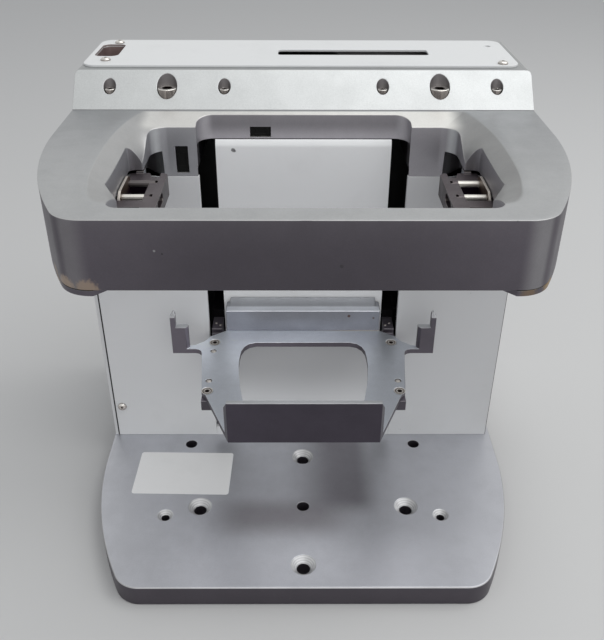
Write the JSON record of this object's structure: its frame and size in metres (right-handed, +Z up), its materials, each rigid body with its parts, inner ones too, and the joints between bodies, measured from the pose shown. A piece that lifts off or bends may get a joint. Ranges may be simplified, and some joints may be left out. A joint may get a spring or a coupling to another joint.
{
  "type": "microplate stacker",
  "caption": "Bench stand with a ring head that takes a stack of microplates, gripper jaws and a lift stage on arms that rise through the ring.",
  "frame": {"origin": "centre of the footprint at the bench, under the middle of the bounding box", "axes": "+Z up, -Y towards the user at the open front, +X to the user's right"},
  "size_m": [0.2406, 0.2186, 0.2377],
  "materials": {
    "anodised": "bead blasted and clear anodised, satin",
    "stage_anodised": "grey anodised sheet, satin",
    "panel_paint": "pale grey powder coat, fine texture",
    "plate_paint": "white powder coat, semi-gloss",
    "stainless": "bright turned stainless steel",
    "tool_steel": "dark brownish grey hardened steel, satin",
    "bronze": "plain bearing bronze",
    "black_plastic": "black moulded plastic",
    "board_green": "green solder mask"
  },
  "bodies": {
    "stand": {"base_plate": "anodised", "left_column": "anodised", "right_column": "anodised", "head_ring": "anodised", "top_block": "anodised", "left_gripper_cover": "anodised", "right_gripper_cover": "anodised", "left_air_cylinder": "anodised", "right_air_cylinder": "anodised", "air_valve": "anodised", "left_front_panel": "panel_paint", "right_front_panel": "panel_paint", "centre_front_panel": "panel_paint", "rear_cover": "panel_paint", "top_plate": "plate_paint", "left_head_bolt": "stainless", "right_head_bolt": "stainless", "band_screw_1": "stainless", "band_screw_2": "stainless", "band_screw_3": "stainless", "band_screw_4": "stainless", "top_plate_screw_1": "stainless", "top_plate_screw_2": "stainless", "top_plate_screw_3": "stainless", "left_panel_screw": "stainless", "lower_bearing": "stainless", "left_guide_rod": "stainless", "right_guide_rod": "stainless", "left_guide_pin_1": "stainless", "left_guide_pin_2": "stainless", "right_guide_pin_1": "stainless", "right_guide_pin_2": "stainless", "data_port": "stainless", "air_fitting": "stainless", "stage_motor": "black_plastic", "rack_sensor": "black_plastic", "plate_sensor": "black_plastic", "power_inlet": "black_plastic", "control_board": "board_green"},
    "stage": {"stage_tray": "stage_anodised", "stage_bar": "stage_anodised", "left_stage_arm": "stage_anodised", "right_stage_arm": "stage_anodised", "carriage": "anodised", "lead_nut": "bronze", "tray_screw_1": "stainless", "tray_screw_2": "stainless", "tray_screw_3": "stainless", "tray_screw_4": "stainless", "tray_pin_1": "stainless", "tray_pin_2": "stainless", "tray_pin_3": "stainless"},
    "left_gripper": {"left_jaw": "tool_steel", "left_piston_rod": "stainless"},
    "right_gripper": {"right_jaw": "tool_steel", "right_piston_rod": "stainless"},
    "screw": {"lead_screw": "stainless"}
  },
  "joints": [
    {"name": "stage_lift", "type": "slide", "parent": "stand", "child": "stage", "axis": [0, 0, 1], "range_m": [-0.065, 0.1]},
    {"name": "left_grip", "type": "slide", "parent": "stand", "child": "left_gripper", "axis": [1, 0, 0], "range_m": [0, 0.0024], "stiffness_N_per_m": 300},
    {"name": "right_grip", "type": "slide", "parent": "stand", "child": "right_gripper", "axis": [-1, 0, 0], "range_m": [0, 0.0024], "stiffness_N_per_m": 300},
    {"name": "screw_turn", "type": "hinge", "parent": "stand", "child": "screw", "pos_m": [0, 0.07125, 0.1], "axis": [0, 0, 1], "range_deg": [-3610, 2350]}
  ],
  "couplings": [
    {"joint": "right_grip", "follows": "left_grip", "ratio": 1},
    {"joint": "screw_turn", "follows": "stage_lift", "rad_per_m": -628.32}
  ]
}
